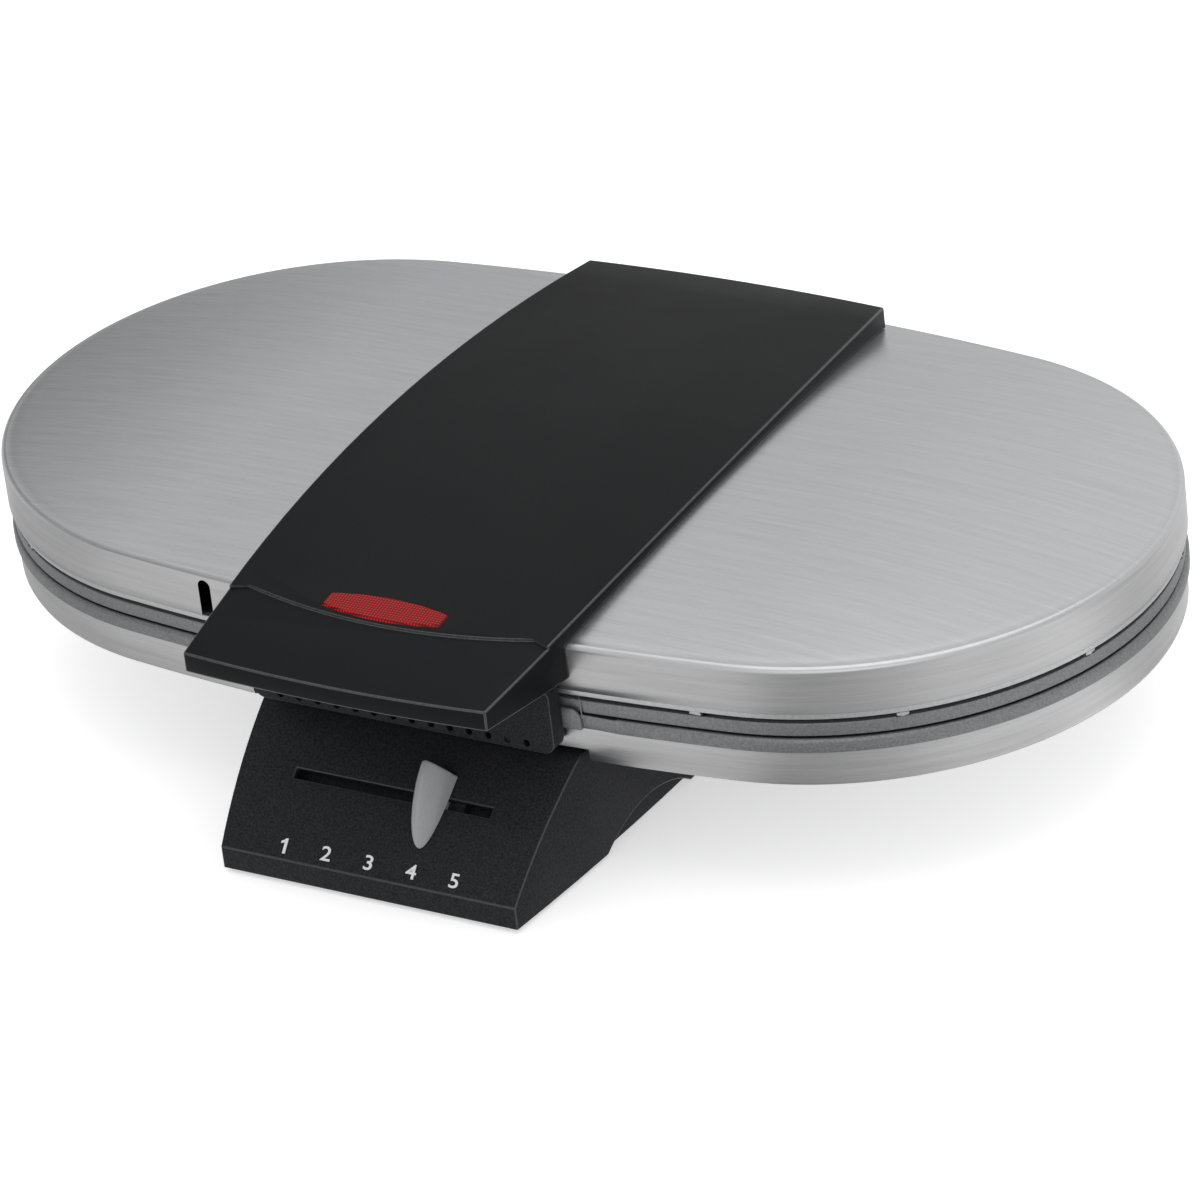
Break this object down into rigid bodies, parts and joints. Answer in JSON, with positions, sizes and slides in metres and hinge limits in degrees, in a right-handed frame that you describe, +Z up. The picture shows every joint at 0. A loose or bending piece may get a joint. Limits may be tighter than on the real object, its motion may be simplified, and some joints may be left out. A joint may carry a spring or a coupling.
{
  "type": "double waffle maker",
  "caption": "Countertop waffle maker with an oval hinged lid, two side-by-side heart-pattern plates, a narrow pedestal, a top handle strip and a temperature slider.",
  "frame": {"origin": "on the table, under the middle of the whole outline", "axes": "+X along the oval to the right as seen from the handle, +Y from the handle towards the hinge, +Z up"},
  "size_m": [0.4, 0.2858, 0.0939],
  "materials": {
    "black_housing": "fine grain, heat-proof moulding",
    "black_strip": "satin",
    "black_fittings": "plain inner moulding",
    "grey_knob": "satin, silver painted",
    "red_lens": "clear, ribbed behind",
    "steel_skin": "brushed along X",
    "casting": "cast, non-stick coated",
    "sheet_steel": "plain",
    "heater_tube": "matt",
    "fasteners": "zinc plated",
    "ceramic": "glazed",
    "lamp_glass": "clear",
    "rubber": "matt"
  },
  "bodies": {
    "base": {"base_housing": "black_housing", "bottom_cover": "black_housing", "front_guard": "black_housing", "foot_front_left": "rubber", "foot_front_right": "rubber", "foot_rear_left": "rubber", "foot_rear_right": "rubber", "lower_shell": "steel_skin", "lower_plate_left": "casting", "lower_plate_right": "casting", "lower_heat_shield": "sheet_steel", "lower_heater_left": "heater_tube", "lower_heater_right": "heater_tube", "hinge_pin_left": "fasteners", "hinge_pin_right": "fasteners", "pin_clips": "fasteners", "base_screws": "fasteners", "shell_screws": "fasteners", "lower_plate_screws": "fasteners", "guard_screws": "fasteners", "guide_screws": "fasteners", "thermostat_body": "ceramic", "thermal_fuse": "ceramic", "fuse_clip": "sheet_steel", "terminal_block": "ceramic", "cord_gland": "black_fittings", "slider_guide": "black_fittings"},
    "lid": {"lid_shell": "steel_skin", "handle_cover": "black_strip", "handle_liner": "black_strip", "liner_screws": "fasteners", "indicator_lens": "red_lens", "lamp": "lamp_glass", "lamp_holder": "black_fittings", "lid_frame": "sheet_steel", "hinge_arm_left": "sheet_steel", "hinge_arm_right": "sheet_steel", "arm_screws": "fasteners", "upper_plate_left": "casting", "upper_plate_right": "casting", "upper_plate_screws": "fasteners", "strip_screws": "fasteners", "upper_heater_left": "heater_tube", "upper_heater_right": "heater_tube", "upper_heat_shield_left": "sheet_steel", "upper_heat_shield_right": "sheet_steel", "upper_shield_screws": "fasteners"},
    "slider": {"slider_knob": "grey_knob", "slider_carriage": "black_fittings"},
    "regulator": {"regulator_lever": "sheet_steel", "thermostat_spindle": "fasteners"}
  },
  "joints": [
    {"name": "lid_hinge", "type": "hinge", "parent": "base", "child": "lid", "pos_m": [0, 0.12895, 0.058], "axis": [-1, 0, 0], "range_deg": [0, 95]},
    {"name": "temperature_slide", "type": "slide", "parent": "base", "child": "slider", "axis": [1, 0, 0], "range_m": [-0.0459, 0.0153]},
    {"name": "thermostat_spin", "type": "hinge", "parent": "base", "child": "regulator", "pos_m": [0, -0.02705, 0.01], "axis": [0, 0, 1], "range_deg": [-28.6, 9.6]}
  ],
  "couplings": [
    {"joint": "thermostat_spin", "follows": "temperature_slide", "rad_per_m": 10.8}
  ]
}
